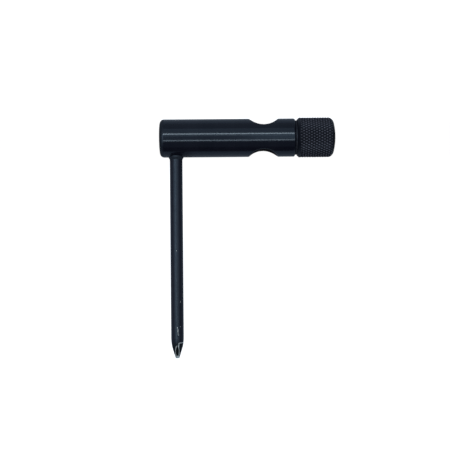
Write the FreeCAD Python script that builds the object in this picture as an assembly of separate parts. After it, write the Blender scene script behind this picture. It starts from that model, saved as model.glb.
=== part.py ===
"""Small cross-point driver with a barrel handle whose knurled end knob clamps the blade.

Frame, in millimetres: +X runs along the barrel from its closed butt face to the knob, the blade
points along -Y, and +Z is up when the driver lies flat. The origin is the butt face's centre.
"""

import FreeCAD
import Part

import math
import os

from FreeCAD import Vector

AXIS_X = Vector(1, 0, 0)
AXIS_Y = Vector(0, 1, 0)
AXIS_Z = Vector(0, 0, 1)

# Barrel handle
BARREL_R = 6.0
BARREL_LENGTH = 42.5
BUTT_CORNER_R = 1.3
MOUTH_CORNER_R = 0.5

# Two opposed finger scallops, milled across the barrel with a cutter whose axis is along Z
SCALLOP_CUTTER_R = 6.0
SCALLOP_DEPTH = 2.2
SCALLOP_X = 32.6
SCALLOP_EDGE_BREAK = 0.12

# Blade and its socket across the barrel
BLADE_X = 5.0
BLADE_R = 2.0
BLADE_TIP_Y = -69.4
SHANK_END_Y = 3.4
SHANK_CHAMFER = 0.4
SOCKET_FLOOR_Y = 3.5
SLEEVE_R_OUT = 2.4
SLEEVE_R_IN = 2.03
SLEEVE_END_Y = -6.6
SLEEVE_LIP_LENGTH = 0.65
SLEEVE_LIP_R = 2.08

# Ring of rubber in a groove of the shank, which keeps a loose blade from dropping out
SHANK_RING_Y = -4.0
SHANK_RING_MID_R = 1.79
SHANK_RING_WIRE_R = 0.22
SHANK_GROOVE_R = 1.56
SHANK_GROOVE_WIDTH = 0.6

# Cross point
TIP_LENGTH = 6.4
NOSE_MID_R = 0.56
NOSE_MID_HEIGHT = 0.12
NOSE_R = 0.8
NOSE_HEIGHT = 0.4
FLANK_MID_R = 1.48
FLANK_MID_HEIGHT = 2.6
FLUTE_CORE_R = 0.26
FLUTE_WHEEL_R = 8.0
FLUTE_WHEEL_HALF_WIDTH = 4.8
FLUTE_ROOT_R = 0.15
FLUTE_COUNT = 4

# Stepped bore along the barrel
GUIDE_R = 2.05
GUIDE_END_X = 20.0
CHAMBER_R = 2.85
CHAMBER_END_X = 35.5
INSERT_SEAT_R = 3.5

# Clamp train, from the blade to the knob
CLAMP_GAP = 0.02
PAD_R = 2.0
PAD_END_X = 12.0
PAD_CHAMFER = 0.3
SPIGOT_R = 0.8
SPIGOT_DEPTH = 2.0
ROD_R = 1.5
BALL_R = 1.5
CUP_R = 2.7
CUP_START_X = 28.8
CUP_END_X = 33.0
CUP_POCKET_X = 31.4
CUP_POCKET_R = 1.54
WASHER_R_OUT = 2.8
WASHER_R_IN = 1.6
WASHER_THICKNESS = 0.4
SPRING_WIRE_R = 0.25
SPRING_MID_R = 2.3
SPRING_TURNS = 7

# Clamp screw (M5, drawn as its plain outside cylinder) and the insert that it runs in
SCREW_R = 2.5
SCREW_END_X = 50.0
SCREW_TIP_CHAMFER = 0.5
INSERT_R_IN = 2.56
INSERT_CHAMFER = 0.3

# Knurled knob
KNOB_R = 6.25
KNOB_START_X = 43.2
KNOB_END_X = 55.2
KNOB_FRONT_CHAMFER = 0.6
KNOB_CORNER_R = 1.85
KNOB_DOME_R = 19.6
HUB_R = 4.65
HUB_START_X = 42.55
LOCK_SCREW_END_X = 54.6
LOCK_SCREW_HEX = 2.5
LOCK_SCREW_HEX_DEPTH = 2.6

# Rubber ring between the barrel's mouth and the knob
NECK_RING_WIRE_R = 0.34
NECK_RING_MID_R = 5.08

BALL_X = CUP_POCKET_X + BALL_R
SCREW_START_X = BALL_X + BALL_R + CLAMP_GAP


def rod_x(radius, start_x, end_x):
    """A round bar on the barrel's axis."""
    return Part.makeCylinder(radius, end_x - start_x, Vector(start_x, 0, 0), AXIS_X)


def rod_y(radius, start_y, end_y):
    """A round bar on the blade's axis."""
    return Part.makeCylinder(radius, end_y - start_y, Vector(BLADE_X, start_y, 0), AXIS_Y)


def circle_edges(shape, radius, place, value):
    """The round edges of one radius whose centre has the given coordinate along X ('x') or Y ('y')."""
    found = []
    for edge in shape.Edges:
        curve = edge.Curve
        if not isinstance(curve, Part.Circle) or abs(curve.Radius - radius) > 0.01:
            continue
        if abs(getattr(curve.Center, place) - value) < 0.01:
            found.append(edge)
    return found


def scallop_cutter(side):
    """The round cutter of one scallop, on the barrel's +Y side (side = 1) or -Y side (side = -1)."""
    centre_y = side * (BARREL_R - SCALLOP_DEPTH + SCALLOP_CUTTER_R)
    base = Vector(SCALLOP_X, centre_y, -2 * BARREL_R)
    return Part.makeCylinder(SCALLOP_CUTTER_R, 4 * BARREL_R, base, AXIS_Z)


def scallop_rims(shape):
    """The curved edges where the two scallops leave the barrel's round outside."""
    rims = []
    for edge in shape.Edges:
        box = edge.BoundBox
        near = abs(box.Center.x - SCALLOP_X) < SCALLOP_DEPTH
        outside = box.ZLength > 0.5 * BARREL_R and box.YLength > 0.1 * BARREL_R
        if near and outside and not isinstance(edge.Curve, (Part.Line, Part.Circle)):
            rims.append(edge)
    return rims


def handle_barrel():
    """The barrel: a round bar with a stepped bore, a blind cross hole and two scallops."""
    bar = rod_x(BARREL_R, 0, BARREL_LENGTH)
    bar = bar.makeFillet(BUTT_CORNER_R, circle_edges(bar, BARREL_R, "x", 0))
    bar = bar.makeFillet(MOUTH_CORNER_R, circle_edges(bar, BARREL_R, "x", BARREL_LENGTH))
    bar = bar.cut(scallop_cutter(1)).cut(scallop_cutter(-1))
    bar = bar.makeChamfer(SCALLOP_EDGE_BREAK, scallop_rims(bar))
    bore = rod_x(GUIDE_R, BLADE_X, GUIDE_END_X)
    bore = bore.fuse(rod_x(CHAMBER_R, GUIDE_END_X, CHAMBER_END_X))
    bore = bore.fuse(rod_x(INSERT_SEAT_R, CHAMBER_END_X, BARREL_LENGTH))
    socket = rod_y(SLEEVE_R_OUT, -2 * BARREL_R, SOCKET_FLOOR_Y)
    return bar.cut(bore).cut(socket)


def socket_sleeve():
    """The liner of the cross hole, with a window for the clamp pad and a small lip outside."""
    sleeve = rod_y(SLEEVE_R_OUT, SLEEVE_END_Y, SOCKET_FLOOR_Y)
    sleeve = sleeve.cut(rod_y(SLEEVE_R_IN, SLEEVE_END_Y, SOCKET_FLOOR_Y))
    lip_y = SLEEVE_END_Y + SLEEVE_LIP_LENGTH
    collar = rod_y(2 * SLEEVE_R_OUT, SLEEVE_END_Y, lip_y)
    foot = Vector(BLADE_X, SLEEVE_END_Y, 0)
    taper = Part.makeCone(SLEEVE_LIP_R, SLEEVE_R_OUT, SLEEVE_LIP_LENGTH, foot, AXIS_Y)
    sleeve = sleeve.cut(collar.cut(taper))
    return sleeve.cut(rod_x(GUIDE_R, BLADE_X, GUIDE_END_X))


def point_envelope():
    """The bullet-shaped end of the blade, turned about the blade's axis."""
    def at(radius, height):
        return Vector(BLADE_X + radius, BLADE_TIP_Y + height, 0)

    tip = at(0, 0)
    nose_mid = at(NOSE_MID_R, NOSE_MID_HEIGHT)
    nose_side = at(NOSE_R, NOSE_HEIGHT)
    flank_mid = at(FLANK_MID_R, FLANK_MID_HEIGHT)
    shoulder = at(BLADE_R, TIP_LENGTH)
    top = at(0, TIP_LENGTH)
    edges = [
        Part.Arc(tip, nose_mid, nose_side).toShape(),
        Part.Arc(nose_side, flank_mid, shoulder).toShape(),
        Part.LineSegment(shoulder, top).toShape(),
        Part.LineSegment(top, tip).toShape(),
    ]
    face = Part.Face(Part.Wire(edges))
    return face.revolve(Vector(BLADE_X, 0, 0), AXIS_Y, 360)


def flute_cutter(turn_deg):
    """A wheel with a rounded right-angle rim, sunk to the core at the tip, so that its groove
    climbs out of the blade in a curve."""
    reach = FLUTE_WHEEL_HALF_WIDTH
    touch = FLUTE_ROOT_R / math.sqrt(2)
    floor = FLUTE_ROOT_R * (math.sqrt(2) - 1)
    rim = [
        Part.LineSegment(Vector(reach, 0, reach), Vector(touch, 0, touch)).toShape(),
        Part.Arc(Vector(touch, 0, touch), Vector(floor, 0, 0), Vector(touch, 0, -touch)).toShape(),
        Part.LineSegment(Vector(touch, 0, -touch), Vector(reach, 0, -reach)).toShape(),
        Part.LineSegment(Vector(reach, 0, -reach), Vector(reach, 0, reach)).toShape(),
    ]
    wheel = Part.Face(Part.Wire(rim)).revolve(Vector(FLUTE_WHEEL_R, 0, 0), AXIS_Z, 360)
    wheel.translate(Vector(FLUTE_CORE_R, 0, 0))
    wheel.rotate(Vector(0, 0, 0), AXIS_Y, turn_deg)
    wheel.translate(Vector(BLADE_X, BLADE_TIP_Y, 0))
    return wheel


def blade():
    """The blade: a round shank with a rubber ring's groove at one end and the cross point at the other."""
    shank = rod_y(BLADE_R, BLADE_TIP_Y + TIP_LENGTH, SHANK_END_Y)
    shank = shank.makeChamfer(SHANK_CHAMFER, circle_edges(shank, BLADE_R, "y", SHANK_END_Y))
    shank = shank.fuse(point_envelope()).removeSplitter()
    half = 0.5 * SHANK_GROOVE_WIDTH
    groove = rod_y(2 * BLADE_R, SHANK_RING_Y - half, SHANK_RING_Y + half)
    groove = groove.cut(rod_y(SHANK_GROOVE_R, SHANK_RING_Y - half, SHANK_RING_Y + half))
    shank = shank.cut(groove)
    for index in range(FLUTE_COUNT):
        shank = shank.cut(flute_cutter(index * 360 / FLUTE_COUNT))
    return shank


def shank_o_ring():
    """The rubber ring in the shank's groove."""
    centre = Vector(BLADE_X, SHANK_RING_Y, 0)
    return Part.makeTorus(SHANK_RING_MID_R, SHANK_RING_WIRE_R, centre, AXIS_Y)


def clamp_pad():
    """The soft brass pad that presses on the shank, with a blind hole for the rod's spigot."""
    start_x = BLADE_X + BLADE_R + CLAMP_GAP
    pad = rod_x(PAD_R, start_x, PAD_END_X)
    pad = pad.makeChamfer(PAD_CHAMFER, circle_edges(pad, PAD_R, "x", PAD_END_X))
    return pad.cut(rod_x(SPIGOT_R, PAD_END_X - SPIGOT_DEPTH, PAD_END_X))


def push_rod():
    """The push rod, with a spigot in the pad."""
    rod = rod_x(ROD_R, PAD_END_X, CUP_POCKET_X)
    return rod.fuse(rod_x(SPIGOT_R, PAD_END_X - SPIGOT_DEPTH, PAD_END_X)).removeSplitter()


def rod_cup():
    """The collar pressed on the rod's end: the spring's seat and the ball's pocket."""
    cup = rod_x(CUP_R, CUP_START_X, CUP_END_X)
    cup = cup.cut(rod_x(ROD_R, CUP_START_X, CUP_POCKET_X))
    return cup.cut(rod_x(CUP_POCKET_R, CUP_POCKET_X, CUP_END_X))


def thrust_ball():
    """The hardened ball between the turning screw and the rod."""
    return Part.makeSphere(BALL_R, Vector(BALL_X, 0, 0))


def spring_washer():
    """The flat washer at the shoulder of the bore, where the return spring stands."""
    washer = rod_x(WASHER_R_OUT, GUIDE_END_X, GUIDE_END_X + WASHER_THICKNESS)
    return washer.cut(rod_x(WASHER_R_IN, GUIDE_END_X, GUIDE_END_X + WASHER_THICKNESS))


def return_spring():
    """The return spring: a round wire on a helix between the washer and the cup."""
    start_x = GUIDE_END_X + WASHER_THICKNESS + SPRING_WIRE_R
    length = CUP_START_X - start_x - SPRING_WIRE_R
    helix = Part.makeHelix(length / SPRING_TURNS, length, SPRING_MID_R)
    start = Vector(SPRING_MID_R, 0, 0)
    rise = length / SPRING_TURNS
    tangent = Vector(0, 2 * math.pi * SPRING_MID_R, rise)
    section = Part.Wire([Part.makeCircle(SPRING_WIRE_R, start, tangent)])
    coil = Part.Wire(helix).makePipeShell([section], True, True)
    coil.rotate(Vector(0, 0, 0), AXIS_Y, 90)
    coil.translate(Vector(start_x, 0, 0))
    return coil


def threaded_insert():
    """The steel insert pressed in the barrel's mouth, which the clamp screw runs in."""
    insert = rod_x(INSERT_SEAT_R, CHAMBER_END_X, BARREL_LENGTH)
    insert = insert.cut(rod_x(INSERT_R_IN, CHAMBER_END_X, BARREL_LENGTH))
    mouth = circle_edges(insert, INSERT_R_IN, "x", BARREL_LENGTH)
    return insert.makeChamfer(INSERT_CHAMFER, mouth)


def clamp_screw():
    """The clamp screw, fixed in the knob."""
    screw = rod_x(SCREW_R, SCREW_START_X, SCREW_END_X)
    return screw.makeChamfer(SCREW_TIP_CHAMFER, circle_edges(screw, SCREW_R, "x", SCREW_START_X))


def clamp_knob():
    """The knob, at the knurl's crest diameter, with its hub and a through hole for the screws."""
    knob = rod_x(KNOB_R, KNOB_START_X, KNOB_END_X)
    knob = knob.makeChamfer(KNOB_FRONT_CHAMFER, circle_edges(knob, KNOB_R, "x", KNOB_START_X))
    dome_centre_x = KNOB_END_X - KNOB_DOME_R
    knob = knob.common(Part.makeSphere(KNOB_DOME_R, Vector(dome_centre_x, 0, 0)))
    rim_x = dome_centre_x + math.sqrt(KNOB_DOME_R**2 - KNOB_R**2)
    knob = knob.makeFillet(KNOB_CORNER_R, circle_edges(knob, KNOB_R, "x", rim_x))
    knob = knob.fuse(rod_x(HUB_R, HUB_START_X, KNOB_START_X))
    return knob.cut(rod_x(SCREW_R, HUB_START_X, KNOB_END_X)).removeSplitter()


def knob_lock_screw():
    """The grub screw behind the clamp screw, with a hexagon socket in the knob's end."""
    screw = rod_x(SCREW_R, SCREW_END_X, LOCK_SCREW_END_X)
    corner_r = LOCK_SCREW_HEX / math.sqrt(3)
    corners = []
    for index in range(7):
        turn = math.radians(60 * index)
        corners.append(Vector(LOCK_SCREW_END_X, corner_r * math.cos(turn), corner_r * math.sin(turn)))
    hexagon = Part.Face(Part.makePolygon(corners))
    return screw.cut(hexagon.extrude(Vector(-LOCK_SCREW_HEX_DEPTH, 0, 0)))


def neck_o_ring():
    """The rubber ring on the knob's hub, which grips the barrel's mouth when the knob is tight."""
    centre = Vector(KNOB_START_X - NECK_RING_WIRE_R, 0, 0)
    return Part.makeTorus(NECK_RING_MID_R, NECK_RING_WIRE_R, centre, AXIS_X)


PIECES = [
    handle_barrel,
    socket_sleeve,
    threaded_insert,
    spring_washer,
    return_spring,
    clamp_pad,
    push_rod,
    rod_cup,
    thrust_ball,
    clamp_screw,
    clamp_knob,
    knob_lock_screw,
    neck_o_ring,
    shank_o_ring,
    blade,
]


def main():
    """Builds every piece, and writes each to its own STEP file."""
    os.makedirs("parts", exist_ok=True)
    for piece in PIECES:
        shape = piece()
        name = piece.__name__
        shape.exportStep("parts/" + name + ".step")
        print("%-18s valid %s  solids %d  volume %9.3f mm3"
              % (name, shape.isValid(), len(shape.Solids), shape.Volume))


main()
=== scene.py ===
"""Looks of a small cross-point driver: a barrel handle that clamps its blade with a knurled end knob.

The row frame is in metres: +X from the barrel's butt to the knob, -Y along the blade to its point,
+Z up. A size whose name ends in _mm is in millimetres, and MM turns it into metres.
"""

import logging
import math
from dataclasses import dataclass, field
from enum import Enum

import bpy
import numpy as np
from mathutils import Matrix, Vector


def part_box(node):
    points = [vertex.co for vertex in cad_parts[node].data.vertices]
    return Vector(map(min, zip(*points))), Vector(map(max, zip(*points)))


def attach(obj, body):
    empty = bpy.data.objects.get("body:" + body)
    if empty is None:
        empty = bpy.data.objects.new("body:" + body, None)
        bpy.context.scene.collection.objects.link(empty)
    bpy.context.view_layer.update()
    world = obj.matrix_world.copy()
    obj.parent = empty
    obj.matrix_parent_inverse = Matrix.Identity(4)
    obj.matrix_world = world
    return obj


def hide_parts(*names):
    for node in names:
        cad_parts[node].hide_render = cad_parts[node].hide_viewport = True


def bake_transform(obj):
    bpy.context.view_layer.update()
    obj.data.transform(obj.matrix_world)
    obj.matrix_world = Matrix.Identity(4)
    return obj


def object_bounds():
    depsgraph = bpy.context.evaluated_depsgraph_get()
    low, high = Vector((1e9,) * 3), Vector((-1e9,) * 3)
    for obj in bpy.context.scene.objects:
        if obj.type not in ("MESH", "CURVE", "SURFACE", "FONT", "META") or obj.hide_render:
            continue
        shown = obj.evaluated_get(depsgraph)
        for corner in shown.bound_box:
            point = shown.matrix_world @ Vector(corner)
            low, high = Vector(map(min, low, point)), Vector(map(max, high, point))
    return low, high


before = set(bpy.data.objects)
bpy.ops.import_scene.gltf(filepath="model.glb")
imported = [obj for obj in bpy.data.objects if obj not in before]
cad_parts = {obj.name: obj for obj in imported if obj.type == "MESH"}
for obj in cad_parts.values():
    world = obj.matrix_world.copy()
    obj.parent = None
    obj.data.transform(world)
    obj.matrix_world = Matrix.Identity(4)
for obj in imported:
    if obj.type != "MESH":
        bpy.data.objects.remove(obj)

CAD_BOX = [list(corner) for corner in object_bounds()]

LOG = logging.getLogger("driver")
MM = 0.001
SHARP_ANGLE_DEG = 32.0

Colour = tuple[float, float, float]
Value = bpy.types.NodeSocket | float | tuple


# ---------------------------------------------------------------- surfaces


def solid_from_rings(name: str, rings: np.ndarray, start: np.ndarray | None = None,
                     end: np.ndarray | None = None) -> bpy.types.Object:
    """Makes a closed mesh from a row of rings.

    Ring i's point j is joined to point j + 1 round the ring and to point j of ring i + 1. Without
    poles the last ring joins the first, as on a torus. With poles each end closes on one point.

    Args:
        name: The piece's name.
        rings: Points as an array (rings, points per ring, 3), in metres.
        start: The pole before the first ring, or None.
        end: The pole after the last ring, or None.

    Returns:
        The new object, with faces that point outwards.
    """
    count, around = rings.shape[:2]
    index = np.arange(count * around).reshape(count, around)
    turned = np.roll(index, -1, axis=1)
    closed = start is None
    near, far = (index, np.roll(index, -1, axis=0)) if closed else (index[:-1], index[1:])
    near_next, far_next = (turned, np.roll(turned, -1, axis=0)) if closed else (turned[:-1], turned[1:])
    quads = np.stack([near, near_next, far_next, far], axis=-1).reshape(-1, 4)
    points = rings.reshape(-1, 3)
    fans = np.empty((0, 3), int)
    if not closed:
        first, last = len(points), len(points) + 1
        points = np.vstack([points, start, end])
        lower = np.stack([turned[0], index[0], np.full(around, first)], axis=-1)
        upper = np.stack([index[-1], turned[-1], np.full(around, last)], axis=-1)
        fans = np.vstack([lower, upper])
    triangles = np.vstack([quads[:, [0, 1, 2]], quads[:, [0, 2, 3]], fans])
    a, b, c = (points[triangles[:, k]] for k in range(3))
    if np.einsum("ij,ij->i", a, np.cross(b, c)).sum() < 0:
        quads, fans = quads[:, ::-1], fans[:, ::-1]
    mesh = bpy.data.meshes.new(name)
    mesh.from_pydata(points.tolist(), [], quads.tolist() + fans.tolist())
    mesh.shade_smooth()
    mesh.set_sharp_from_angle(angle=math.radians(SHARP_ANGLE_DEG))
    piece = bpy.data.objects.new(name, mesh)
    bpy.context.scene.collection.objects.link(piece)
    return piece


def rings_about_x(along: np.ndarray, radius: np.ndarray, around: np.ndarray) -> np.ndarray:
    """Turns (x, radius) into points about the barrel's axis: y = r cos(angle), z = r sin(angle).

    Args:
        along: Place along X of each ring, in metres.
        radius: Radius of each point, (rings, points per ring), in metres.
        around: Angle of each point round the axis, in radians.

    Returns:
        Points as an array (rings, points per ring, 3).
    """
    x = np.broadcast_to(along[:, None], radius.shape)
    return np.stack([x, radius * np.cos(around), radius * np.sin(around)], axis=-1)


def straight(start: tuple[float, float], end: tuple[float, float], count: int) -> np.ndarray:
    """Points of a straight stretch of a profile, without its last one.

    Args:
        start: First point, as (x, radius).
        end: The point where the next stretch starts.
        count: How many points.

    Returns:
        The points, (count, 2).
    """
    share = np.linspace(0, 1, count, endpoint=False)[:, None]
    return np.array(start) + share * (np.array(end) - np.array(start))


def arc(centre: tuple[float, float], radius: float, start_deg: float, end_deg: float,
        count: int) -> np.ndarray:
    """Points of an arc of a profile, without its last one.

    Args:
        centre: The arc's centre, as (x, radius).
        radius: The arc's radius.
        start_deg: Angle of the first point, from +X towards outwards, in degrees.
        end_deg: Angle where the next stretch starts.
        count: How many points.

    Returns:
        The points, (count, 2).
    """
    angle = np.radians(np.linspace(start_deg, end_deg, count, endpoint=False))
    return np.array(centre) + radius * np.stack([np.cos(angle), np.sin(angle)], axis=-1)


def sawtooth(phase: np.ndarray) -> np.ndarray:
    """A triangle wave of period 1: 1 at whole phases, 0 midway between them."""
    return np.abs(2 * (phase - np.floor(phase)) - 1)


def smooth_step(value: np.ndarray) -> np.ndarray:
    """Goes from 0 at 0 to 1 at 1 as 3 v squared less 2 v cubed."""
    v = np.clip(value, 0, 1)
    return v * v * (3 - 2 * v)


def blunt_minimum(a: np.ndarray, b: np.ndarray, rounding: float) -> np.ndarray:
    """The smaller of two surfaces, with the edge where they cross rounded.

    Half of: a + b less the root of (a - b) squared plus rounding squared.

    Args:
        a: The first surface's radius.
        b: The second surface's radius.
        rounding: About the width of the rounded edge.

    Returns:
        The combined radius, never above either.
    """
    return 0.5 * (a + b - np.sqrt((a - b) ** 2 + rounding**2))


def circle_through(p: tuple[float, float], q: tuple[float, float],
                   r: tuple[float, float]) -> tuple[float, float, float]:
    """The circle through three points of a profile.

    Its centre is as far from p as from q and from r, which is two linear equations.

    Args:
        p: First point.
        q: Second point.
        r: Third point.

    Returns:
        The centre's two coordinates and the radius.
    """
    p, q, r = (np.array(v, float) for v in (p, q, r))
    sides = 2 * np.stack([q - p, r - p])
    centre = np.linalg.solve(sides, [q @ q - p @ p, r @ r - p @ p])
    return float(centre[0]), float(centre[1]), float(np.linalg.norm(p - centre))


def end_x_of_dome(rim_x: float, dome_r: float, rim_r: float) -> float:
    """Where a dome's middle would be, from where its hole's rim is.

    Args:
        rim_x: Place of the rim of the hole in the dome's middle.
        dome_r: The dome's radius.
        rim_r: The hole's radius.

    Returns:
        The dome's highest place, as if it had no hole.
    """
    return rim_x + dome_r - math.sqrt(dome_r**2 - rim_r**2)


def add_attribute(piece: bpy.types.Object, name: str, values: np.ndarray) -> None:
    """Stores one number per vertex on a piece, for its material to read."""
    layer = piece.data.attributes.new(name, "FLOAT", "POINT")
    layer.data.foreach_set("value", values.astype(np.float32))


# ---------------------------------------------------------------- node trees


@dataclass
class Graph:
    """A shader node tree, built by adding nodes whose inputs are values or other nodes' outputs."""

    tree: bpy.types.NodeTree

    def node(self, kind: str, inputs: dict[str | int, Value] | None = None,
             **settings: object) -> bpy.types.Node:
        """Adds a node.

        Args:
            kind: The node's type, without its ShaderNode prefix.
            inputs: Value or output for each input, by name or number.
            **settings: The node's own properties.

        Returns:
            The node.
        """
        made = self.tree.nodes.new("ShaderNode" + kind)
        for key, value in settings.items():
            setattr(made, key, value)
        for key, value in (inputs or {}).items():
            if isinstance(value, bpy.types.NodeSocket):
                self.tree.links.new(value, made.inputs[key])
            else:
                made.inputs[key].default_value = value
        return made

    def math(self, operation: str, a: Value, b: Value = 0.0, clamp: bool = False) -> Value:
        """Adds a Math node and returns its output."""
        return self.node("Math", {0: a, 1: b}, operation=operation, use_clamp=clamp).outputs[0]

    def span(self, value: Value, low: float, high: float, to_low: float = 0.0,
             to_high: float = 1.0) -> Value:
        """Maps low..high to to_low..to_high with a soft start and end, and returns the output."""
        inputs = {"Value": value, "From Min": low, "From Max": high, "To Min": to_low, "To Max": to_high}
        return self.node("MapRange", inputs, interpolation_type="SMOOTHSTEP").outputs["Result"]

    def blend(self, share: Value, a: Value, b: Value) -> Value:
        """Mixes two colours and returns the output."""
        inputs = {0: share, 6: a, 7: b}
        return self.node("Mix", inputs, data_type="RGBA").outputs[2]

    def noise(self, vector: Value, scale: float, detail: float = 3.0, distortion: float = 0.0) -> Value:
        """Adds a Noise texture and returns its value."""
        inputs = {"Vector": vector, "Scale": scale, "Detail": detail, "Distortion": distortion}
        return self.node("TexNoise", inputs).outputs["Fac"]

    def attribute(self, name: str) -> Value:
        """Reads a number that a mesh keeps at each vertex."""
        return self.node("Attribute", attribute_name=name).outputs["Fac"]

    def shape(self, name: str, vector: Value, scale: tuple[float, float, float]) -> Value:
        """Stretches coordinates for a pattern and returns the vector."""
        return self.node("Mapping", {"Vector": vector, "Scale": scale}, label=name).outputs["Vector"]


class Effect(Enum):
    """Effects that several finishes share, each one node group."""

    EDGE_WEAR = "edge_wear"
    GRAIN = "surface_grain"
    DUST = "dust_and_lint"


def new_group(effect: Effect, inputs: dict[str, tuple[str, float]], outputs: tuple[str, ...]) -> Graph:
    """Makes an empty node group with its sockets.

    Args:
        effect: Which effect it holds.
        inputs: Socket type and default value for each input's name.
        outputs: The outputs' names, all of them numbers.

    Returns:
        The group as a graph, whose nodes are still to be added.
    """
    tree = bpy.data.node_groups.new(effect.value, "ShaderNodeTree")
    for name, (kind, default) in inputs.items():
        socket = tree.interface.new_socket(name, in_out="INPUT", socket_type="NodeSocket" + kind)
        if kind == "Float":
            socket.default_value = default
    for name in outputs:
        tree.interface.new_socket(name, in_out="OUTPUT", socket_type="NodeSocketFloat")
    return Graph(tree)


def build_edge_wear() -> None:
    """Builds the edge wear group: a mask of convex edges, broken up by noise.

    A bevelled normal turns away from the true one near an edge, so one less their dot product
    rises there, and noise of two sizes takes bites out of the band.
    """
    g = new_group(Effect.EDGE_WEAR, {"Vector": ("Vector", 0), "Width": ("Float", 0.0002),
                                     "Amount": ("Float", 0.3), "Scale": ("Float", 2500.0)}, ("Mask",))
    given = g.tree.nodes.new("NodeGroupInput")
    soft = g.node("Bevel", {"Radius": given.outputs["Width"]}, samples=6).outputs["Normal"]
    true = g.node("NewGeometry").outputs["Normal"]
    dot = g.node("VectorMath", {0: soft, 1: true}, operation="DOT_PRODUCT").outputs["Value"]
    edge = g.span(g.math("SUBTRACT", 1.0, dot), 0.01, 0.12)
    bites = g.node("TexNoise", {"Vector": given.outputs["Vector"], "Scale": given.outputs["Scale"],
                                "Detail": 4.0}).outputs["Fac"]
    reach = g.math("ADD", given.outputs["Amount"], g.math("MULTIPLY", bites, -1.0))
    kept = g.span(g.math("ADD", reach, 0.25), 0.0, 0.12)
    mask = g.math("MULTIPLY", edge, kept, clamp=True)
    out = g.tree.nodes.new("NodeGroupOutput")
    g.tree.links.new(mask, out.inputs["Mask"])


def build_grain() -> None:
    """Builds the grain group: fine streaks and a slow unevenness, for roughness, tone and bump."""
    g = new_group(Effect.GRAIN, {"Vector": ("Vector", 0), "Fine": ("Float", 9000.0),
                                 "Slow": ("Float", 160.0)}, ("Height", "Tone"))
    given = g.tree.nodes.new("NodeGroupInput")
    fine = g.node("TexNoise", {"Vector": given.outputs["Vector"], "Scale": given.outputs["Fine"],
                               "Detail": 5.0, "Roughness": 0.6}).outputs["Fac"]
    slow = g.node("TexNoise", {"Vector": given.outputs["Vector"], "Scale": given.outputs["Slow"],
                               "Detail": 3.0}).outputs["Fac"]
    out = g.tree.nodes.new("NodeGroupOutput")
    g.tree.links.new(fine, out.inputs["Height"])
    g.tree.links.new(g.span(slow, 0.3, 0.7), out.inputs["Tone"])


def build_dust() -> None:
    """Builds the dust group: sparse small specks, cells whose random number passes a threshold."""
    g = new_group(Effect.DUST, {"Vector": ("Vector", 0), "Scale": ("Float", 1400.0),
                                "Amount": ("Float", 0.02)}, ("Mask",))
    given = g.tree.nodes.new("NodeGroupInput")
    cells = g.node("TexVoronoi", {"Vector": given.outputs["Vector"], "Scale": given.outputs["Scale"],
                                  "Randomness": 1.0})
    chosen = g.math("LESS_THAN", g.node("SeparateColor", {0: cells.outputs["Color"]}).outputs[0],
                    given.outputs["Amount"])
    speck = g.span(cells.outputs["Distance"], 0.14, 0.05)
    out = g.tree.nodes.new("NodeGroupOutput")
    g.tree.links.new(g.math("MULTIPLY", chosen, speck, clamp=True), out.inputs["Mask"])


def use_effect(g: Graph, effect: Effect, inputs: dict[str, Value]) -> bpy.types.Node:
    """Places an effect's group in a material.

    Args:
        g: The material's graph.
        effect: Which effect.
        inputs: The group's inputs.

    Returns:
        The group node.
    """
    placed = g.node("Group", node_tree=bpy.data.node_groups[effect.value])
    for name, value in inputs.items():
        if isinstance(value, bpy.types.NodeSocket):
            g.tree.links.new(value, placed.inputs[name])
        else:
            placed.inputs[name].default_value = value
    return placed


# ---------------------------------------------------------------- finishes


class Lay(Enum):
    """Which way a surface's fine marks run: how the pattern is scaled along X, Y and Z."""

    EVEN = (1.0, 1.0, 1.0)
    ROUND_THE_BARREL = (1.0, 0.06, 0.06)
    ALONG_THE_BLADE = (1.0, 0.05, 1.0)


def start_material(name: str) -> tuple[bpy.types.Material, Graph, Value]:
    """Starts a material.

    Args:
        name: The material's name.

    Returns:
        The material, its empty graph and the object coordinates.
    """
    material = bpy.data.materials.new(name)
    material.use_nodes = True
    material.node_tree.nodes.clear()
    g = Graph(material.node_tree)
    return material, g, g.node("TexCoord").outputs["Object"]


def end_material(g: Graph, shader: bpy.types.Node) -> None:
    """Joins a material's shader to its output."""
    out = g.node("OutputMaterial")
    g.tree.links.new(shader.outputs[0], out.inputs["Surface"])


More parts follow.
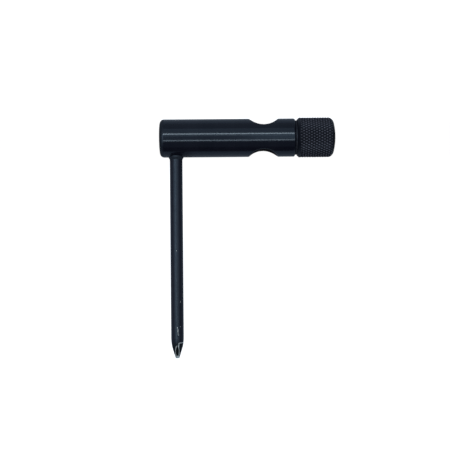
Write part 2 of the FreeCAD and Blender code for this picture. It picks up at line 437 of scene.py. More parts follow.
@dataclass(frozen=True)
class BlackFinish:
    """A black skin on metal: dyed anodising or blacking, worn to bright metal where it is hit.

    A field left empty or at 0 leaves its part out: bare_attribute for a blade's torn places,
    shade_and_dark_point_attribute for painted shade in its flutes and a darker point,
    crest_highlight_attribute for a painted highlight on a knurl's crests, shade_inside_mm for painted
    shade on faces nearer than that to the barrel's axis, and handled_end_mm for an end dulled by hands.
    """

    name: str
    dark: Colour
    light: Colour
    roughness: float
    roughness_spread: float = 0.05
    lay: Lay = Lay.EVEN
    fine: float = 9000.0
    slow: float = 160.0
    bump_mm: float = 0.002
    specular: float = 0.5
    tint: Colour = (0.62, 0.82, 1.0)
    metal: Colour = (0.42, 0.44, 0.45)
    metal_roughness: float = 0.14
    wear_width_mm: float = 0.12
    wear_amount: float = 0.2
    bare_attribute: str = ""
    # Painted shade in the flutes and a darker point: their mask, colour and added roughness.
    shade_and_dark_point_attribute: str = ""
    shade_and_dark_point: Colour = (0.0012, 0.0014, 0.0022)
    shade_and_dark_point_roughness: float = 0.3
    # Painted highlight on a knurl's crests: its mask and its lighter colour.
    crest_highlight_attribute: str = ""
    crest_highlight: Colour = (0.158, 0.161, 0.202)
    # Painted shade on faces nearer to the barrel's axis than its outside: reach, fade and colour.
    shade_inside_mm: float = 0.0
    shade_fade_mm: float = 0.12
    painted_light_on_cut: Colour = (0.0060, 0.0062, 0.0100)
    handled_end_mm: float = 0.0
    handled_full: float = 0.84
    handled_roughness: float = 0.42
    dust: float = 0.004
    lint: Colour = (0.16, 0.17, 0.19)

    def bare_mask(self, g: Graph, place: Value) -> Value:
        """Where the skin is gone: on convex edges, and where the bare attribute tears through noise.

        Args:
            g: The material's graph.
            place: Object coordinates.

        Returns:
            The mask.
        """
        wear = use_effect(g, Effect.EDGE_WEAR, {"Vector": place, "Width": self.wear_width_mm * MM,
                                                "Amount": self.wear_amount}).outputs["Mask"]
        if not self.bare_attribute:
            return wear
        bare = g.attribute(self.bare_attribute)
        ragged = g.math("MULTIPLY", g.noise(place, 5200.0, 5.0, 0.6), 0.9)
        return g.math("MAXIMUM", wear, g.span(g.math("ADD", bare, ragged), 0.95, 1.08))

    def inner_shade_mask(self, g: Graph, place: Value) -> Value:
        """Where painted shade goes: on faces nearer to the barrel's axis than its outside, as in the
        scallops.

        The distance from the axis is the root of Y squared plus Z squared.

        Args:
            g: The material's graph.
            place: Object coordinates.

        Returns:
            The mask.
        """
        part = g.node("SeparateXYZ", {0: place})
        squares = g.math("ADD", g.math("POWER", part.outputs["Y"], 2.0),
                         g.math("POWER", part.outputs["Z"], 2.0))
        inner = self.shade_inside_mm - self.shade_fade_mm
        return g.span(g.math("SQRT", squares), self.shade_inside_mm * MM, inner * MM)

    def colour(self, g: Graph, place: Value, tone: Value, bare: Value) -> Value:
        """The colour: uneven skin with painted crest highlights, painted shade in the flutes, a darker
        point and dust, bare metal over it, and painted shade on faces inside the barrel's outside.

        Args:
            g: The material's graph.
            place: Object coordinates.
            tone: The skin's slow unevenness.
            bare: Where the skin is gone.

        Returns:
            The colour.
        """
        specks = use_effect(g, Effect.DUST, {"Vector": place, "Amount": self.dust}).outputs["Mask"]
        colour = g.blend(tone, (*self.dark, 1.0), (*self.light, 1.0))
        # Painted highlight: the knurl's crests are made lighter.
        if self.crest_highlight_attribute:
            colour = g.blend(g.attribute(self.crest_highlight_attribute), colour, (*self.crest_highlight, 1.0))
        # Painted shade in the blade's flutes, and a darker point.
        if self.shade_and_dark_point_attribute:
            colour = g.blend(g.attribute(self.shade_and_dark_point_attribute), colour, (*self.shade_and_dark_point, 1.0))
        colour = g.blend(g.math("MULTIPLY", specks, 0.5), colour, (*self.lint, 1.0))
        colour = g.blend(bare, colour, (*self.metal, 1.0))
        # Painted shade: faces inside the barrel's round outside, as in the scallops, are made darker.
        if self.shade_inside_mm:
            colour = g.blend(self.inner_shade_mask(g, place), colour, (*self.painted_light_on_cut, 1.0))
        return colour

    def sheen(self, g: Graph, place: Value, height: Value, bare: Value) -> Value:
        """The roughness: it follows the fine grain and rises with the painted flute shade and darker point,
        bare metal and handling.

        Args:
            g: The material's graph.
            place: Object coordinates.
            height: The fine grain.
            bare: Where the skin is gone.

        Returns:
            The roughness.
        """
        rough = g.span(height, 0.25, 0.75, self.roughness - self.roughness_spread,
                       self.roughness + self.roughness_spread)
        # The painted flute shade and the darker point are also rougher.
        if self.shade_and_dark_point_attribute:
            shade_and_dark_point = g.attribute(self.shade_and_dark_point_attribute)
            rough = g.math("ADD", rough, g.math("MULTIPLY", shade_and_dark_point, self.shade_and_dark_point_roughness))
        rough = g.math("ADD", rough, g.math("MULTIPLY", bare, self.metal_roughness), clamp=True)
        if self.handled_end_mm:
            along = g.node("SeparateXYZ", {0: place}).outputs["X"]
            end = self.handled_end_mm * MM
            handled = g.span(along, end, self.handled_full * end)
            rough = g.math("ADD", rough, g.math("MULTIPLY", handled, self.handled_roughness), clamp=True)
        return rough

    def material(self) -> bpy.types.Material:
        """Builds the finish's material.

        Returns:
            The material.
        """
        material, g, place = start_material(self.name)
        grain = use_effect(g, Effect.GRAIN, {"Vector": g.shape("lay", place, self.lay.value),
                                             "Fine": self.fine, "Slow": self.slow})
        height = grain.outputs["Height"]
        bare = self.bare_mask(g, place)
        bump = g.node("Bump", {"Height": height, "Strength": 0.6, "Distance": self.bump_mm * MM})
        shader = g.node("BsdfPrincipled", {
            "Base Color": self.colour(g, place, grain.outputs["Tone"], bare), "Metallic": bare,
            "Roughness": self.sheen(g, place, height, bare), "Normal": bump.outputs[0],
            "Specular IOR Level": self.specular, "Specular Tint": (*self.tint, 1.0)})
        end_material(g, shader)
        return material


@dataclass(frozen=True)
class BareFinish:
    """Bare turned, drawn or polished metal with oil stains."""

    name: str
    clean: Colour
    stained: Colour
    roughness: float
    lay: Lay = Lay.ROUND_THE_BARREL
    fine: float = 12000.0
    slow: float = 500.0
    bump_mm: float = 0.004

    def material(self) -> bpy.types.Material:
        """Builds the finish's material.

        Returns:
            The material.
        """
        material, g, place = start_material(self.name)
        grain = use_effect(g, Effect.GRAIN, {"Vector": g.shape("lay", place, self.lay.value),
                                             "Fine": self.fine, "Slow": self.slow})
        tone, height = grain.outputs["Tone"], grain.outputs["Height"]
        colour = g.blend(tone, (*self.clean, 1.0), (*self.stained, 1.0))
        rough = g.span(height, 0.25, 0.75, self.roughness, self.roughness + 0.14)
        bump = g.node("Bump", {"Height": height, "Strength": 0.7, "Distance": self.bump_mm * MM})
        shader = g.node("BsdfPrincipled", {"Base Color": colour, "Metallic": 1.0, "Roughness": rough,
                                           "Normal": bump.outputs[0]})
        end_material(g, shader)
        return material


@dataclass(frozen=True)
class RubberFinish:
    """Black rubber with a fine skin and a little bloom."""

    name: str
    dark: Colour = (0.012, 0.013, 0.019)
    bloom: Colour = (0.034, 0.035, 0.046)
    roughness: float = 0.55

    def material(self) -> bpy.types.Material:
        """Builds the finish's material.

        Returns:
            The material.
        """
        material, g, place = start_material(self.name)
        grain = use_effect(g, Effect.GRAIN, {"Vector": place, "Fine": 14000.0, "Slow": 900.0})
        colour = g.blend(grain.outputs["Tone"], (*self.dark, 1.0), (*self.bloom, 1.0))
        bump = g.node("Bump", {"Height": grain.outputs["Height"], "Strength": 0.8, "Distance": 0.006 * MM})
        rough = g.span(grain.outputs["Height"], 0.2, 0.8, self.roughness - 0.1, self.roughness + 0.1)
        shader = g.node("BsdfPrincipled", {"Base Color": colour, "Roughness": rough,
                                           "Specular IOR Level": 0.35,
                                           "Specular Tint": (0.6, 0.8, 1.0, 1.0),
                                           "Normal": bump.outputs[0]})
        end_material(g, shader)
        return material


# The barrel's skin carries painted shade on every face inside its round outside: scallops, ends and holes.
ANODISED = BlackFinish("black_anodised_skin", (0.0066, 0.0068, 0.0132), (0.0098, 0.0101, 0.0180),
                       roughness=0.13, roughness_spread=0.02, lay=Lay.ROUND_THE_BARREL, bump_mm=0.0003,
                       wear_width_mm=0.08, wear_amount=0.05, shade_inside_mm=5.93, handled_end_mm=1.34,
                       dust=0.0004)
# The knob's skin carries a painted highlight on its knurl's crests.
KNURLED = BlackFinish("knurled_black_skin", (0.0050, 0.0060, 0.0105), (0.0085, 0.0098, 0.0160),
                      roughness=0.40, specular=0.24, tint=(0.74, 0.82, 1.0), metal=(0.10, 0.105, 0.12),
                      wear_width_mm=0.06, wear_amount=0.05, crest_highlight_attribute="crest_highlight", dust=0.01)
# The blade's skin carries painted shade in its flutes and a darker point.
BLACKED = BlackFinish("blackened_blade_skin", (0.0085, 0.0108, 0.0190), (0.0165, 0.0155, 0.0265),
                      roughness=0.36, roughness_spread=0.06, lay=Lay.ALONG_THE_BLADE, fine=5000.0,
                      slow=420.0, bump_mm=0.004, metal=(0.78, 0.82, 0.82), wear_amount=0.12,
                      bare_attribute="bare", shade_and_dark_point_attribute="shade_and_dark_point", dust=0.012)
SLEEVE = BlackFinish("blackened_sleeve_skin", (0.0130, 0.0155, 0.0240), (0.0200, 0.0230, 0.0330),
                     roughness=0.55, lay=Lay.ALONG_THE_BLADE, wear_amount=0.1)
TURNED_STEEL = BareFinish("turned_steel", (0.50, 0.50, 0.51), (0.36, 0.35, 0.34), roughness=0.24)
BALL_STEEL = BareFinish("ball_steel", (0.62, 0.62, 0.64), (0.55, 0.55, 0.56), roughness=0.06,
                        lay=Lay.EVEN, bump_mm=0.0005)
SPRING_WIRE = BareFinish("spring_wire", (0.44, 0.44, 0.46), (0.32, 0.31, 0.31), roughness=0.26,
                         lay=Lay.EVEN, bump_mm=0.002)
SCREW_STEEL = BareFinish("screw_steel", (0.34, 0.34, 0.35), (0.16, 0.15, 0.14), roughness=0.28)
PAD_BRASS = BareFinish("pad_brass", (0.72, 0.50, 0.20), (0.50, 0.32, 0.12), roughness=0.26)
RUBBER = RubberFinish("ring_rubber")


def dress(piece: bpy.types.Object, finish: BlackFinish | BareFinish | RubberFinish) -> None:
    """Gives a piece a finish, in every slot that it has; a finish's material is built once.

    Args:
        piece: The piece.
        finish: Its finish.
    """
    material = bpy.data.materials.get(finish.name) or finish.material()
    if not piece.data.materials:
        piece.data.materials.append(material)
    for slot in piece.material_slots:
        slot.material = material


# ---------------------------------------------------------------- sub-assemblies


@dataclass
class BarrelHandle:
    """The barrel with its fixed fittings: all are design solids whose shape is right as it is."""

    skins: dict[str, BlackFinish | BareFinish] = field(default_factory=lambda: {
        "handle_barrel": ANODISED, "socket_sleeve": SLEEVE, "threaded_insert": TURNED_STEEL,
        "spring_washer": TURNED_STEEL})

    def build(self) -> None:
        """Dresses the barrel, the sleeve, the insert and the washer."""
        for node, finish in self.skins.items():
            dress(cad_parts[node], finish)
            LOG.info("dressed %s", node)


@dataclass
class ClampKnob:
    """The knurled knob with its hub, clamp screw, lock screw and rubber ring."""

    crest_r_mm: float = 6.25
    chamfer_mm: float = 0.6
    corner_r_mm: float = 1.85
    dome_r_mm: float = 19.6
    hub_r_mm: float = 4.65
    hub_length_mm: float = 0.65
    bore_r_mm: float = 2.5
    knurl_pitch_mm: float = 0.8
    knurl_angle_deg: float = 30.0
    knurl_depth_mm: float = 0.27
    knurl_flat: float = 0.14
    knurl_land_mm: float = 0.12
    knurl_fade_mm: float = 0.35
    # How far down from the crests the painted highlight reaches, as a share of the groove.
    crest_highlight_reach: float = 0.55
    steps_per_pitch: int = 14
    thread_pitch_mm: float = 0.8
    thread_depth_mm: float = 0.47
    thread_flat: float = 0.12
    thread_flank: float = 0.7
    thread_steps: int = 16
    thread_around: int = 72
    tip_chamfer_mm: float = 0.5

    def profile(self) -> np.ndarray:
        """The knob's section, once round: bore, hub, front face, chamfer, crest, corner and dome.

        The corner's centre is on the circle about the dome's centre whose radius is the dome's less
        the corner's, so that both arcs meet smoothly.

        Returns:
            Points (x, radius), in millimetres.
        """
        low, high = (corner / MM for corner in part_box("clamp_knob"))
        hub_x, end_x = low.x, high.x
        front_x = hub_x + self.hub_length_mm
        crest_x = front_x + self.chamfer_mm
        front_r = self.crest_r_mm - self.chamfer_mm
        dome_x = end_x_of_dome(end_x, self.dome_r_mm, self.bore_r_mm) - self.dome_r_mm
        centre_r = self.crest_r_mm - self.corner_r_mm
        centre_x = dome_x + math.sqrt((self.dome_r_mm - self.corner_r_mm) ** 2 - centre_r**2)
        tangent_deg = math.degrees(math.asin(centre_r / (self.dome_r_mm - self.corner_r_mm)))
        mouth_deg = math.degrees(math.asin(self.bore_r_mm / self.dome_r_mm))
        row = self.knurl_pitch_mm / math.sin(math.radians(self.knurl_angle_deg)) / self.steps_per_pitch
        rows = round((centre_x - crest_x) / row)
        return np.vstack([
            straight((end_x, self.bore_r_mm), (hub_x, self.bore_r_mm), 8),
            straight((hub_x, self.bore_r_mm), (hub_x, self.hub_r_mm), 5),
            straight((hub_x, self.hub_r_mm), (front_x, self.hub_r_mm), 3),
            straight((front_x, self.hub_r_mm), (front_x, front_r), 3),
            straight((front_x, front_r), (crest_x, self.crest_r_mm), 12),
            straight((crest_x, self.crest_r_mm), (centre_x, self.crest_r_mm), rows),
            arc((centre_x, centre_r), self.corner_r_mm, 90.0, tangent_deg, 26),
            arc((dome_x, 0.0), self.dome_r_mm, tangent_deg, mouth_deg, 14),
        ])

    def knob(self) -> bpy.types.Object:
        """Builds the knob: its turned section, or the knurled bar where that is lower.

        The knurled bar's radius is the crest's less the deeper of two families of V grooves that
        wind right and left. A groove's depth falls in a straight line with the distance from its
        middle, as a triangle wave of (starts x angle +- length / lead), and its top is cut flat.

        Returns:
            The knob.
        """
        section = self.profile()
        helix = math.radians(self.knurl_angle_deg)
        starts = round(2 * math.pi * self.crest_r_mm * math.cos(helix) / self.knurl_pitch_mm)
        around = np.linspace(0, 2 * math.pi, starts * self.steps_per_pitch, endpoint=False)
        lead = self.knurl_pitch_mm / math.sin(helix)
        turn = starts * around[None, :] / (2 * math.pi)
        slide = (section[:, :1] - section[:, 0].min()) / lead
        groove = np.maximum(sawtooth(turn + slide), sawtooth(turn - slide))
        groove = np.clip((groove - self.knurl_flat) / (1 - self.knurl_flat), 0, 1)
        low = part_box("clamp_knob")[0].x / MM + self.hub_length_mm + self.chamfer_mm
        fade = smooth_step((section[:, :1] - low - self.knurl_land_mm) / self.knurl_fade_mm)
        bar = self.crest_r_mm - self.knurl_depth_mm * groove * fade
        radius = np.minimum(section[:, 1:], bar)
        knob = solid_from_rings("knurled_knob", rings_about_x(section[:, 0] * MM, radius * MM, around))
        # Painted highlight: the rows that the knurl cuts get a lighter colour on their crests.
        painted_light_on_cut = self.crest_r_mm - self.knurl_depth_mm < section[:, 1:]
        crest_highlight = smooth_step(1 - groove / self.crest_highlight_reach) * fade
        add_attribute(knob, "crest_highlight", np.where(painted_light_on_cut, crest_highlight, 0.0).ravel())
        return knob

    def screw(self) -> bpy.types.Object:
        """Builds the clamp screw: a right-hand thread with a chamfered tip.

        The radius is the crest's less the thread's depth times a wave of (length / pitch - turn)
        that is flat at the crest and at the root, and no more than the tip's cone.

        Returns:
            The screw.
        """
        low, high = (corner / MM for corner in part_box("clamp_screw"))
        length = high.x - low.x
        count = round(length / self.thread_pitch_mm * self.thread_steps)
        x = np.linspace(low.x, high.x, count)
        around = np.linspace(0, 2 * math.pi, self.thread_around, endpoint=False)
        wave = sawtooth(x[:, None] / self.thread_pitch_mm - around[None, :] / (2 * math.pi))
        tooth = smooth_step((wave - self.thread_flat) / self.thread_flank)
        thread = self.bore_r_mm - self.thread_depth_mm * (1 - tooth)
        cone = self.bore_r_mm - self.tip_chamfer_mm + (x[:, None] - low.x)
        radius = np.minimum(thread, cone)
        return solid_from_rings("threaded_clamp_screw", rings_about_x(x * MM, radius * MM, around),
                                np.array([low.x * MM, 0, 0]), np.array([high.x * MM, 0, 0]))

    def build(self) -> None:
        """Builds and dresses the knob's pieces."""
        knob = self.knob()
        dress(knob, KNURLED)
        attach(knob, "knob")
        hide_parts("clamp_knob")
        LOG.info("built %s with %d faces", knob.name, len(knob.data.polygons))
        screw = self.screw()
        dress(screw, SCREW_STEEL)
        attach(screw, "knob")
        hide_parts("clamp_screw")
        LOG.info("built %s with %d faces", screw.name, len(screw.data.polygons))
        dress(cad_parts["knob_lock_screw"], SCREW_STEEL)
        dress(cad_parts["neck_o_ring"], RUBBER)


@dataclass(frozen=True)
class Chip:
    """A spot where the blacking has come off: its angle, its distance from the point, and its size."""

    degrees: float
    away_mm: float
    wide_mm: float
    tall_mm: float


@dataclass
class Blade:
    """The blade: a round shank with a rubber ring's groove, and a fluted cross point."""

    shank_r_mm: float = 2.0
    end_chamfer_mm: float = 0.4
    groove_r_mm: float = 1.56
    groove_width_mm: float = 0.6
    point_length_mm: float = 6.4
    nose_mid_r_mm: float = 0.56
    nose_mid_height_mm: float = 0.12
    nose_r_mm: float = 0.8
    nose_height_mm: float = 0.4
    flank_r_mm: float = 1.48
    flank_height_mm: float = 2.6
    flute_core_mm: float = 0.26
    flute_wheel_mm: float = 8.0
    flute_root: float = 0.09
    edge_mm: float = 0.05
    # How far from the point's end the blade is made darker.
    dark_point_mm: float = 5.1
    around: int = 208
    nose_rings: int = 14
    point_rings: int = 170
    worn_rings: int = 90
    shank_rings: int = 120
    chips: tuple[Chip, ...] = (
        Chip(82.0, 8.7, 0.15, 1.7), Chip(76.0, 7.6, 0.15, 0.3), Chip(87.0, 9.9, 0.22, 0.3),
        Chip(60.0, 10.2, 0.18, 0.2), Chip(56.0, 17.9, 0.18, 0.7), Chip(90.0, 34.1, 0.18, 0.4),
        Chip(200.0, 9.0, 0.2, 0.6), Chip(285.0, 12.5, 0.15, 0.8), Chip(330.0, 7.4, 0.2, 0.4))

    def heights(self) -> np.ndarray:
        """Distances of the rings from the point's end, close together at the point and the groove.

        Returns:
            Distances in millimetres, rising, without either end.
        """
        low, high = (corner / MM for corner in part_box("blade"))
        length = high.y - low.y
        ring_low, ring_high = (corner.y / MM - low.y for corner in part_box("shank_o_ring"))
        middle = 0.5 * (ring_low + ring_high)
        half = 0.5 * self.groove_width_mm
        worn = 2.2 * self.point_length_mm
        wall = 0.02
        nose_turn = np.linspace(0.12, math.pi / 2, self.nose_rings, endpoint=False)
        return np.concatenate([
            self.nose_height_mm * (1 - np.cos(nose_turn)),
            np.linspace(self.nose_height_mm, self.point_length_mm, self.point_rings, endpoint=False),
            np.linspace(self.point_length_mm, worn, self.worn_rings, endpoint=False),
            np.linspace(worn, middle - half - wall, self.shank_rings),
            np.linspace(middle - half, middle + half, 5),
            np.linspace(middle + half + wall, length - self.end_chamfer_mm, 10),
            np.linspace(length - self.end_chamfer_mm, length, 4)[1:],
        ])

    def turned_radius(self, height: np.ndarray) -> np.ndarray:
        """The blade's radius before the flutes are cut: nose arc, flank arc, shank, groove, chamfer.

        Each arc is the circle through three points of the section, read at a given height as the
        centre's radius plus the root of the circle's radius squared less the height's squared.

        Args:
            height: Distance from the point's end, in millimetres.

        Returns:
            Radius at each height, in millimetres.
        """
        low, high = (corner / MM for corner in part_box("blade"))
        ring_low, ring_high = (corner.y / MM - low.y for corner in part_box("shank_o_ring"))
        rim = (self.nose_height_mm, self.nose_r_mm)
        nose = circle_through((0.0, 0.0), (self.nose_mid_height_mm, self.nose_mid_r_mm), rim)
        flank = circle_through(rim, (self.flank_height_mm, self.flank_r_mm),
                               (self.point_length_mm, self.shank_r_mm))

        def read(circle: tuple[float, float, float]) -> np.ndarray:
            """Radius on one circle's outer side at each height."""
            return circle[1] + np.sqrt(np.maximum(circle[2] ** 2 - (height - circle[0]) ** 2, 0))

        radius = np.where(height < self.nose_height_mm, read(nose), read(flank))
        radius = np.where(height > self.point_length_mm, self.shank_r_mm, radius)
        to_end = (high.y - low.y) - height
        radius = np.minimum(radius, self.shank_r_mm - self.end_chamfer_mm + to_end)
        middle, half = 0.5 * (ring_low + ring_high), 0.5 * self.groove_width_mm
        in_groove = np.abs(height - middle) <= half + 1e-6
        return np.where(in_groove, self.groove_r_mm, radius)

    def flute_radius(self, height: np.ndarray, angle: np.ndarray) -> np.ndarray:
        """How far out the flutes leave the metal, at each height and angle.

        Each flute is cut by a wheel whose right-angle rim reaches the core at the point's end. A
        point at radius r and angle t from the flute's middle is on the wheel where the square of
        (core + wheel - r cos t) is the square of (wheel - r sin t) less the height squared. That is
        quadratic in r, and its smaller root is c / (b + root of (b squared - a c)). The root of
        sin t squared plus flute_root squared stands for sin t, which rounds the flute's bottom.

        Args:
            height: Distance from the point's end, in millimetres.
            angle: Angle round the blade, in radians; the flutes face 0, 90, 180 and 270 degrees.

        Returns:
            Radius in millimetres, (heights, angles).
        """
        quarter = math.pi / 2
        t = (angle + quarter / 2) % quarter - quarter / 2
        across = np.sqrt(np.sin(t) ** 2 + self.flute_root**2)[None, :]
        ahead = np.cos(t)[None, :]
        reach = self.flute_core_mm + self.flute_wheel_mm
        h = np.minimum(height, 0.94 * self.flute_wheel_mm)[:, None]
        a = ahead**2 - across**2
        b = reach * ahead - self.flute_wheel_mm * across
        c = reach**2 - self.flute_wheel_mm**2 + h**2
        root = b + np.sqrt(np.maximum(b**2 - a * c, 0))
        free = (b**2 - a * c <= 0) | (root <= 1e-3)
        return np.where(free, 1e3, c / np.maximum(root, 1e-3))

    def worn_point(self, h: np.ndarray, t: np.ndarray, over: np.ndarray) -> np.ndarray:
        """How likely the blacking is gone at the cross point.

        It is the greatest of five: the flutes' rims, where the metal cut away over the flute is thin
        (brightest towards 45 degrees, and faded at the top flute's far end), the wings near the end,
        the nose, the edge of the darker point, and one long streak.

        Args:
            h: Distance from the point's end, in millimetres, (heights, 1).
            t: Angle round the blade, in radians, (1, angles).
            over: Turned radius less the flute's radius, in millimetres, (heights, angles).

        Returns:
            Share from 0 to 1, (heights, angles).
        """
        side = 0.74 + 0.26 * np.cos(t - math.radians(45))
        top = np.exp(-(((t - math.radians(96)) / math.radians(20)) ** 2)) * smooth_step((h - 3.9) / 0.6)
        rims = np.exp(-((over / 0.32) ** 2)) * smooth_step((5.6 - h) / 0.8) * (1 - 0.8 * top)
        wings = smooth_step((4.2 - h) / 4.2) * smooth_step(1 - over / 0.1)
        nose = smooth_step((1.6 - h) / 1.1)
        facing = smooth_step((np.cos(t - math.radians(28)) - 0.6) / 0.2)
        band = np.exp(-(((h - self.dark_point_mm + 0.05) / 0.24) ** 2)) * facing
        across = (t - math.radians(74)) * self.shank_r_mm
        streak = np.exp(-((across / 0.2) ** 2)) * smooth_step((5.2 - h) / 0.3) * smooth_step((h - 3.3) / 0.4)
        parts = (0.98 * rims * side, 0.62 * wings, 0.72 * nose, 0.84 * band, 0.84 * streak)
        return np.maximum.reduce(np.broadcast_arrays(*parts))

    def chipped(self, h: np.ndarray, t: np.ndarray) -> np.ndarray:
        """How likely the blacking has chipped off: the greatest of a round hump at each chip.

        Args:
            h: Distance from the point's end, in millimetres, (heights, 1).
            t: Angle round the blade, in radians, (1, angles).

        Returns:
            Share from 0 to 1, (heights, angles).
        """
        share = np.zeros(np.broadcast(h, t).shape)
        for chip in self.chips:
            turn = (t - math.radians(chip.degrees) + math.pi) % (2 * math.pi) - math.pi
            across, along = turn * self.shank_r_mm / chip.wide_mm, (h - chip.away_mm) / chip.tall_mm
            share = np.maximum(share, 0.74 * np.exp(-(across**2) - along**2))
        return share

    def build(self) -> None:
        """Builds and dresses the blade and its rubber ring."""
        low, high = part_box("blade")
        axis_x = 0.5 * (low.x + high.x)
        height = self.heights()
        angle = np.linspace(0, 2 * math.pi, self.around, endpoint=False)
        turned = self.turned_radius(height)
        flute = self.flute_radius(height, angle)
        radius = np.minimum(turned[:, None], blunt_minimum(
            np.broadcast_to(turned[:, None], flute.shape), flute, self.edge_mm))
        fluted = (height < self.point_length_mm)[:, None]
        radius = np.where(fluted, radius, turned[:, None])
        y = low.y + height * MM
        rings = np.stack([axis_x + radius * MM * np.cos(angle), np.broadcast_to(y[:, None], radius.shape),
                          radius * MM * np.sin(angle)], axis=-1)
        blade = solid_from_rings("cross_point_blade", rings, np.array([axis_x, low.y, 0]),
                                 np.array([axis_x, high.y, 0]))
        h, t, over = height[:, None], angle[None, :], turned[:, None] - flute
        bare = np.maximum(self.worn_point(h, t, over), self.chipped(h, t))
        # Painted shade deep in the flutes, and a darker band over the point's end.
        flute_shade = smooth_step((over - 0.04) / 0.1)
        dark_point = 0.75 * smooth_step((self.dark_point_mm - h) / 0.25)
        shade_and_dark_point = np.where(fluted, np.maximum(flute_shade, dark_point), 0.0)
        add_attribute(blade, "bare", np.concatenate([bare.ravel(), [1.0, 0.0]]))
        add_attribute(blade, "shade_and_dark_point", np.concatenate([shade_and_dark_point.ravel(), [0.0, 0.0]]))
        dress(blade, BLACKED)
        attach(blade, "blade")
        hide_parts("blade")
        LOG.info("built %s with %d faces", blade.name, len(blade.data.polygons))
        dress(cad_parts["shank_o_ring"], RUBBER)


@dataclass
class ClampTrain:
    """The pieces that carry the knob's push to the blade, and the spring that brings them back."""

    wire_r_mm: float = 0.25
    turns: float = 7.5
    dead_turns: float = 0.9
    closed_pitch: float = 1.02
    steps_per_turn: int = 56
    wire_around: int = 18
    skins: dict[str, BareFinish] = field(default_factory=lambda: {
        "clamp_pad": PAD_BRASS, "push_rod": TURNED_STEEL, "rod_cup": TURNED_STEEL,
        "thrust_ball": BALL_STEEL})

    def spring(self) -> bpy.types.Object:
        """Builds the spring: a round wire on a helix with a closed coil at each end.

        A point of the wire's middle is at angle t round X. Its place along X rises by closed_pitch
        wires a turn in the closed coils and evenly between them. The wire's circle stands on the outward
        direction and on the cross product of that with the tangent.

        Returns:
            The spring.
        """
        low, high = (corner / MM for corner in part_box("return_spring"))
        mean_r = high.y - self.wire_r_mm
        turn = np.linspace(0, self.turns, round(self.turns * self.steps_per_turn) + 1)
        first, last = low.x + self.wire_r_mm, high.x - self.wire_r_mm
        dead = 2 * self.closed_pitch * self.wire_r_mm * self.dead_turns
        x = np.interp(turn, [0, self.dead_turns, self.turns - self.dead_turns, self.turns],
                      [first, first + dead, last - dead, last])
        t = 2 * math.pi * turn
        outward = np.stack([np.zeros_like(t), np.cos(t), np.sin(t)], axis=-1)
        middle = mean_r * outward + np.stack([x, np.zeros_like(t), np.zeros_like(t)], axis=-1)
        tangent = np.gradient(middle, axis=0)
        tangent /= np.linalg.norm(tangent, axis=1, keepdims=True)
        side = np.cross(tangent, outward)
        side /= np.linalg.norm(side, axis=1, keepdims=True)
        a = np.linspace(0, 2 * math.pi, self.wire_around, endpoint=False)[None, :, None]
        wire = outward[:, None] * np.cos(a) + side[:, None] * np.sin(a)
        rings = (middle[:, None] + self.wire_r_mm * wire) * MM
        return solid_from_rings("coiled_return_spring", rings, middle[0] * MM, middle[-1] * MM)

    def build(self) -> None:
        """Builds the spring, which stretches from the washer to the cup, and dresses the rest."""
        spring = self.spring()
        dress(spring, SPRING_WIRE)
        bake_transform(spring)
        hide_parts("return_spring")
        LOG.info("built %s with %d faces", spring.name, len(spring.data.polygons))
        for node, finish in self.skins.items():
            dress(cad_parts[node], finish)
            LOG.info("dressed %s", node)


# ---------------------------------------------------------------- studio


@dataclass(frozen=True)
class Panel:
    """A soft rectangular light that points at the driver from a direction across the barrel."""

    name: str
    lean_deg: float
    distance_mm: float
    length_mm: float
    width_mm: float
    radiance: float
    colour: Colour = (0.78, 0.90, 1.0)
    tilt_deg: float = 0.0

    def place(self, target: Vector) -> None:
        """Puts the light in the scene.

        A flat light of one watt and one square metre gives off 1 / pi of radiance.

        Args:
            target: The point that it faces.
        """
        light = bpy.data.lights.new(self.name, "AREA")
        light.shape = "RECTANGLE"
        light.size = self.length_mm * MM
        light.size_y = self.width_mm * MM
        light.color = self.colour
        light.energy = self.radiance * math.pi * light.size * light.size_y
        lamp = bpy.data.objects.new(self.name, light)
        turn = Matrix.Rotation(math.radians(-self.lean_deg), 4, "X")
        turn = Matrix.Rotation(math.radians(self.tilt_deg), 4, "Y") @ turn
        lamp.matrix_world = (Matrix.Translation(target) @ turn
                             @ Matrix.Translation((0, 0, self.distance_mm * MM)))
        lamp.visible_camera = False
        bpy.context.scene.collection.objects.link(lamp)


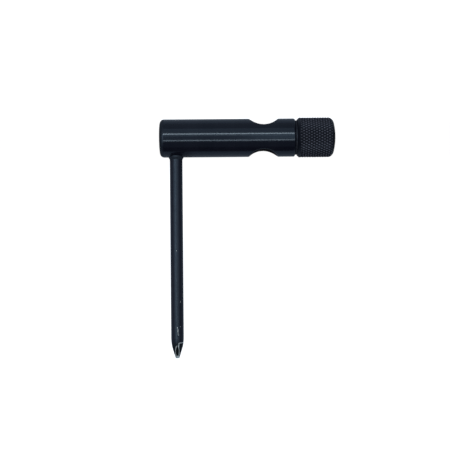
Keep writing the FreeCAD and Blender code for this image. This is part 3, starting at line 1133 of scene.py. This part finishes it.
@dataclass
class Studio:
    """White paper, soft light from above with two long narrow strips, and the camera."""

    camera_x_mm: float = 20.28
    camera_y_mm: float = -27.44
    camera_height_mm: float = 269.0
    camera_roll_deg: float = 0.45
    lens_mm: float = 68.14
    surround: float = 0.035
    floor_side_mm: float = 3000.0
    floor_gap_mm: float = 0.02
    paper_dark: Colour = (0.47, 0.52, 0.60)
    paper_light: Colour = (0.50, 0.55, 0.63)
    shade: Colour = (0.03, 0.03, 0.035)
    shade_half_mm: float = 5.2
    shade_edge_mm: float = 2.2
    panels: tuple[Panel, ...] = (
        Panel("upper_strip", 20.4, 420.0, 200.0, 32.0, 9.0, (1.0, 0.95, 0.91)),
        Panel("lower_strip", -18.5, 420.0, 200.0, 23.0, 6.0, (1.0, 0.95, 0.91)),
        Panel("ceiling", -5.0, 470.0, 420.0, 330.0, 0.33),
        Panel("ceiling_glow", 32.0, 470.0, 420.0, 360.0, 0.52),
        Panel("ceiling_right", 1.0, 470.0, 97.0, 225.0, 0.58, tilt_deg=8.4),
        Panel("far_wall", 71.0, 600.0, 900.0, 420.0, 0.24),
        Panel("near_wall", -40.0, 600.0, 600.0, 430.0, 0.08),
        Panel("left_window", 0.0, 600.0, 480.0, 420.0, 0.8, tilt_deg=-36.0),
        Panel("left_strip", 0.0, 600.0, 170.0, 420.0, 2.1, tilt_deg=-18.0),
        Panel("right_window", 0.0, 600.0, 400.0, 420.0, 0.5, tilt_deg=28.0),
        Panel("left_low", 0.0, 600.0, 200.0, 700.0, 0.09, tilt_deg=-76.0),
        Panel("right_low", 0.0, 600.0, 200.0, 700.0, 0.09, tilt_deg=76.0),
    )

    def world(self) -> None:
        """A dim bluish surrounding, which the camera sees as white paper."""
        world = bpy.data.worlds.new("surrounding")
        bpy.context.scene.world = world
        world.use_nodes = True
        world.node_tree.nodes.clear()
        g = Graph(world.node_tree)
        seen = g.node("LightPath").outputs["Is Camera Ray"]
        dim = g.node("Background", {"Color": (0.75, 0.86, 1.0, 1.0), "Strength": self.surround})
        white = g.node("Background", {"Color": (1.0, 1.0, 1.0, 1.0), "Strength": 1.0})
        both = g.node("MixShader", {0: seen, 1: dim.outputs[0], 2: white.outputs[0]})
        out = g.node("OutputWorld")
        g.tree.links.new(both.outputs[0], out.inputs["Surface"])

    def floor(self) -> None:
        """Builds the floor just under the knob: matt paper with a painted shadow, a dark band under the
        barrel.

        The camera sees it as pure white, so the paper and the band only show as reflections.
        """
        z = min(CAD_BOX[0][2], CAD_BOX[1][2]) - self.floor_gap_mm * MM
        half = 0.5 * self.floor_side_mm * MM
        corners = [(-half, -half, z), (half, -half, z), (half, half, z), (-half, half, z)]
        mesh = bpy.data.meshes.new("paper_floor")
        mesh.from_pydata(corners, [], [(0, 1, 2, 3)])
        floor = bpy.data.objects.new("paper_floor", mesh)
        bpy.context.scene.collection.objects.link(floor)
        material, g, place = start_material("matt_paper")
        paper = g.blend(g.noise(place, 900.0, 4.0), (*self.paper_dark, 1.0), (*self.paper_light, 1.0))
        # Painted shadow: the paper is dark in a band under the barrel.
        beside = g.math("ABSOLUTE", g.node("SeparateXYZ", {0: place}).outputs["Y"])
        lit = g.span(beside, self.shade_half_mm * MM, (self.shade_half_mm + self.shade_edge_mm) * MM)
        tone = g.blend(lit, (*self.shade, 1.0), paper)
        matt = g.node("BsdfDiffuse", {"Color": tone})
        glow = g.node("Emission", {"Color": (1.0, 1.0, 1.0, 1.0), "Strength": 1.0})
        seen = g.node("LightPath").outputs["Is Camera Ray"]
        none = g.node("Emission", {"Strength": 0.0})
        lift = g.node("MixShader", {0: seen, 1: none.outputs[0], 2: glow.outputs[0]})
        both = g.node("AddShader", {0: matt.outputs[0], 1: lift.outputs[0]})
        end_material(g, both)
        mesh.materials.append(material)

    def camera(self) -> None:
        """Puts the camera straight above, looking down with the knob to the right."""
        lens = bpy.data.cameras.new("camera")
        lens.lens = self.lens_mm
        lens.clip_start = 0.01
        lens.clip_end = 10.0
        camera = bpy.data.objects.new("camera", lens)
        camera.location = (self.camera_x_mm * MM, self.camera_y_mm * MM, self.camera_height_mm * MM)
        camera.rotation_euler = (0.0, 0.0, math.radians(-self.camera_roll_deg))
        bpy.context.scene.collection.objects.link(camera)
        bpy.context.scene.camera = camera

    def build(self) -> None:
        """Builds the camera, the world, the floor and the lights."""
        self.camera()
        self.world()
        self.floor()
        target = Vector((self.camera_x_mm * MM, 0.0, 0.0))
        for panel in self.panels:
            panel.place(target)
        bpy.context.scene.view_settings.view_transform = "Standard"
        LOG.info("studio with %d lights", len(self.panels))


def main() -> None:
    """Builds the studio and the driver."""
    logging.basicConfig(level=logging.INFO, format="%(name)s: %(message)s")
    for build_group in (build_edge_wear, build_grain, build_dust):
        build_group()
    for assembly in (Studio(), BarrelHandle(), ClampKnob(), Blade(), ClampTrain()):
        LOG.info("building %s", type(assembly).__name__)
        assembly.build()


if __name__ == "__main__":
    main()
